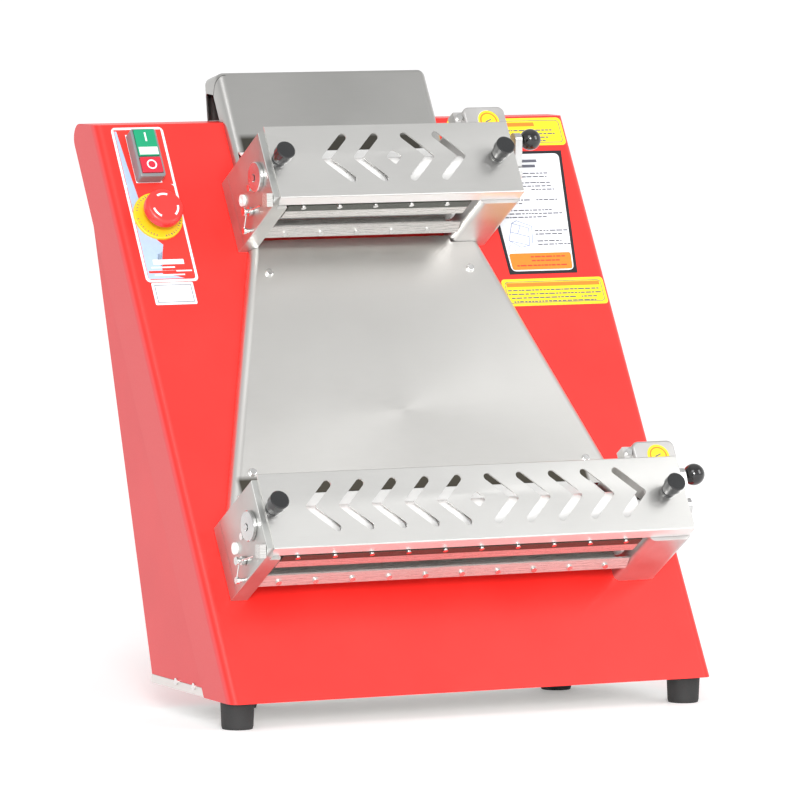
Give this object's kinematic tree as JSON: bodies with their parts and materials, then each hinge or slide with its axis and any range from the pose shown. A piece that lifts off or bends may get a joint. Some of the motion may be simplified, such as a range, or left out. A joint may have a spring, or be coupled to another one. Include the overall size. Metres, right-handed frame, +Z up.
{
  "type": "dough sheeter",
  "caption": "Bench dough sheeter: a sloped red body with a narrow upper and a wide lower roller head, slotted guards, gap levers, chute, slide plate and push buttons.",
  "frame": {"origin": "centre of the machine's outline on the plane of the feet", "axes": "+X across the machine towards the gear housings, +Y to the back, +Z up"},
  "size_m": [0.53, 0.4247, 0.6264],
  "materials": {
    "red_paint": "gloss powder coat",
    "stainless": "satin brushed",
    "black_steel": "satin black",
    "rubber": "matte",
    "screw_steel": "bright zinc",
    "printed_plate": "printed",
    "bezel_plastic": "semi gloss",
    "green_lens": "gloss",
    "red_lens": "gloss",
    "yellow_plastic": "gloss",
    "cast_aluminium": "satin machined",
    "gray_cast": "painted",
    "roller_steel": "polished",
    "gear_steel": "machined",
    "belt_rubber": "matte",
    "grey_plastic": "matte",
    "scraper_steel": "ground",
    "black_knob": "gloss",
    "white_roller": "satin",
    "bronze": "machined"
  },
  "bodies": {
    "frame": {"front_cover": "red_paint", "rear_casing": "red_paint", "base_frame": "stainless", "rubber_feet": "rubber", "slide_plate": "stainless", "upper_chute": "stainless", "casing_screws": "screw_steel", "label_plates": "printed_plate", "switch_bezel": "bezel_plastic", "estop_ring": "yellow_plastic", "motor": "gray_cast", "gearbox": "gray_cast", "layshaft_bracket": "black_steel", "lower_belt": "belt_rubber", "long_belt": "belt_rubber", "upper_belt": "belt_rubber", "control_box": "grey_plastic", "cable_gland": "bezel_plastic", "upper_left_end_plate": "cast_aluminium", "upper_gear_housing": "cast_aluminium", "upper_scraper_spring": "screw_steel", "lower_left_end_plate": "cast_aluminium", "lower_gear_housing": "cast_aluminium", "lower_scraper_spring": "screw_steel"},
    "start_button": {"start_button": "green_lens"},
    "stop_button": {"stop_button": "red_lens"},
    "estop_stem": {"estop_stem": "bezel_plastic"},
    "estop_head": {"estop_button": "red_lens"},
    "drive_shaft": {"drive_shaft": "gear_steel"},
    "layshaft": {"layshaft": "gear_steel"},
    "upper_rear_roller": {"upper_rear_roller": "white_roller", "upper_rear_gear": "gear_steel"},
    "upper_gap_lever": {"upper_gap_axle": "gear_steel", "upper_gap_lever": "roller_steel", "upper_lever_ball": "black_knob"},
    "upper_carriage": {"upper_front_bushes": "bronze"},
    "upper_front_roller": {"upper_front_roller": "white_roller", "upper_front_gear": "gear_steel"},
    "upper_front_scraper": {"upper_front_scraper": "scraper_steel", "upper_front_scraper_screws": "screw_steel"},
    "upper_rear_scraper": {"upper_rear_scraper": "scraper_steel", "upper_rear_scraper_screws": "screw_steel"},
    "upper_guard": {"upper_guard": "stainless"},
    "upper_guard_knob_left": {"upper_guard_knob_left": "black_knob"},
    "upper_guard_knob_right": {"upper_guard_knob_right": "black_knob"},
    "lower_rear_roller": {"lower_rear_roller": "white_roller", "lower_rear_gear": "gear_steel"},
    "lower_gap_lever": {"lower_gap_axle": "gear_steel", "lower_gap_lever": "roller_steel", "lower_lever_ball": "black_knob"},
    "lower_carriage": {"lower_front_bushes": "bronze"},
    "lower_front_roller": {"lower_front_roller": "white_roller", "lower_front_gear": "gear_steel"},
    "lower_front_scraper": {"lower_front_scraper": "scraper_steel", "lower_front_scraper_screws": "screw_steel"},
    "lower_rear_scraper": {"lower_rear_scraper": "scraper_steel", "lower_rear_scraper_screws": "screw_steel"},
    "lower_guard": {"lower_guard": "stainless"},
    "lower_guard_knob_left": {"lower_guard_knob_left": "black_knob"},
    "lower_guard_knob_right": {"lower_guard_knob_right": "black_knob"}
  },
  "joints": [
    {"name": "upper_rear_roller_spin", "type": "hinge", "parent": "frame", "child": "upper_rear_roller", "pos_m": [-0.00145, 0.07012, 0.50286], "axis": [1, 0, 0], "continuous": true},
    {"name": "upper_gap_lever", "type": "hinge", "parent": "frame", "child": "upper_gap_lever", "pos_m": [0.1383, 0.03609, 0.52723], "axis": [1, 0, 0], "range_deg": [-45, 15]},
    {"name": "upper_gap_slide", "type": "slide", "parent": "frame", "child": "upper_carriage", "axis": [0, -0.8526, 0.5225], "range_m": [-0.00063, 0.00188]},
    {"name": "upper_front_roller_spin", "type": "hinge", "parent": "upper_carriage", "child": "upper_front_roller", "pos_m": [-0.00145, 0.03537, 0.52483], "axis": [1, 0, 0], "continuous": true},
    {"name": "upper_front_scraper", "type": "hinge", "parent": "frame", "child": "upper_front_scraper", "pos_m": [-0.00145, 0.00504, 0.50767], "axis": [1, 0, 0], "range_deg": [-12, 0], "stiffness_Nm_per_rad": 0.25, "springref_deg": 17.19},
    {"name": "upper_rear_scraper", "type": "hinge", "parent": "frame", "child": "upper_rear_scraper", "pos_m": [-0.00145, 0.06242, 0.46829], "axis": [1, 0, 0], "range_deg": [-20, 0], "stiffness_Nm_per_rad": 0.25, "springref_deg": 17.19},
    {"name": "upper_guard_lift", "type": "slide", "parent": "frame", "child": "upper_guard", "axis": [0, -0.8526, 0.5225], "range_m": [0, 0.08]},
    {"name": "upper_guard_knob_left", "type": "hinge", "parent": "upper_guard", "child": "upper_guard_knob_left", "pos_m": [-0.1275, 0.00929, 0.54905], "axis": [0, -0.8526, 0.5225], "continuous": true},
    {"name": "upper_guard_knob_right", "type": "hinge", "parent": "upper_guard", "child": "upper_guard_knob_right", "pos_m": [0.1163, 0.00929, 0.54905], "axis": [0, -0.8526, 0.5225], "continuous": true},
    {"name": "lower_rear_roller_spin", "type": "hinge", "parent": "frame", "child": "lower_rear_roller", "pos_m": [-0.0049, -0.13079, 0.17502], "axis": [1, 0, 0], "continuous": true},
    {"name": "lower_gap_lever", "type": "hinge", "parent": "frame", "child": "lower_gap_lever", "pos_m": [0.2295, -0.16481, 0.19939], "axis": [1, 0, 0], "range_deg": [-21, 39]},
    {"name": "lower_gap_slide", "type": "slide", "parent": "frame", "child": "lower_carriage", "axis": [0, -0.8526, 0.5225], "range_m": [-0.00163, 0.00088]},
    {"name": "lower_front_roller_spin", "type": "hinge", "parent": "lower_carriage", "child": "lower_front_roller", "pos_m": [-0.0049, -0.16644, 0.19749], "axis": [1, 0, 0], "continuous": true},
    {"name": "lower_front_scraper", "type": "hinge", "parent": "frame", "child": "lower_front_scraper", "pos_m": [-0.0049, -0.19586, 0.17983], "axis": [1, 0, 0], "range_deg": [-12, 0], "stiffness_Nm_per_rad": 0.25, "springref_deg": 17.19},
    {"name": "lower_rear_scraper", "type": "hinge", "parent": "frame", "child": "lower_rear_scraper", "pos_m": [-0.0049, -0.13848, 0.14044], "axis": [1, 0, 0], "range_deg": [-20, 0], "stiffness_Nm_per_rad": 0.25, "springref_deg": 17.19},
    {"name": "lower_guard_lift", "type": "slide", "parent": "frame", "child": "lower_guard", "axis": [0, -0.8526, 0.5225], "range_m": [0, 0.08]},
    {"name": "lower_guard_knob_left", "type": "hinge", "parent": "lower_guard", "child": "lower_guard_knob_left", "pos_m": [-0.2256, -0.19162, 0.22121], "axis": [0, -0.8526, 0.5225], "continuous": true},
    {"name": "lower_guard_knob_right", "type": "hinge", "parent": "lower_guard", "child": "lower_guard_knob_right", "pos_m": [0.2075, -0.19162, 0.22121], "axis": [0, -0.8526, 0.5225], "continuous": true},
    {"name": "drive_shaft_spin", "type": "hinge", "parent": "frame", "child": "drive_shaft", "pos_m": [0.15, -0.05081, 0.09997], "axis": [1, 0, 0], "continuous": true},
    {"name": "layshaft_spin", "type": "hinge", "parent": "frame", "child": "layshaft", "pos_m": [0.136, 0.12147, 0.44887], "axis": [1, 0, 0], "continuous": true},
    {"name": "start_button_press", "type": "slide", "parent": "frame", "child": "start_button", "axis": [0, 0.8526, -0.5225], "range_m": [0, 0.003], "stiffness_N_per_m": 400, "springref_m": -0.002},
    {"name": "stop_button_press", "type": "slide", "parent": "frame", "child": "stop_button", "axis": [0, 0.8526, -0.5225], "range_m": [0, 0.003], "stiffness_N_per_m": 400, "springref_m": -0.002},
    {"name": "estop_press", "type": "slide", "parent": "frame", "child": "estop_stem", "axis": [0, 0.8526, -0.5225], "range_m": [0, 0.004], "stiffness_N_per_m": 800, "springref_m": -0.002},
    {"name": "estop_twist", "type": "hinge", "parent": "estop_stem", "child": "estop_head", "pos_m": [-0.22, 0.09288, 0.49407], "axis": [0, -0.8526, 0.5225], "range_deg": [-45, 0], "stiffness_Nm_per_rad": 0.05, "springref_deg": 5.73}
  ],
  "couplings": [
    {"joint": "upper_gap_lever", "follows": "upper_gap_slide", "rad_per_m": -416.67},
    {"joint": "lower_gap_lever", "follows": "lower_gap_slide", "rad_per_m": -416.67},
    {"joint": "lower_front_roller_spin", "follows": "lower_rear_roller_spin", "ratio": -1},
    {"joint": "drive_shaft_spin", "follows": "lower_rear_roller_spin", "ratio": 1},
    {"joint": "layshaft_spin", "follows": "lower_rear_roller_spin", "ratio": 1},
    {"joint": "upper_rear_roller_spin", "follows": "lower_rear_roller_spin", "ratio": 1},
    {"joint": "upper_front_roller_spin", "follows": "lower_rear_roller_spin", "ratio": -1}
  ]
}
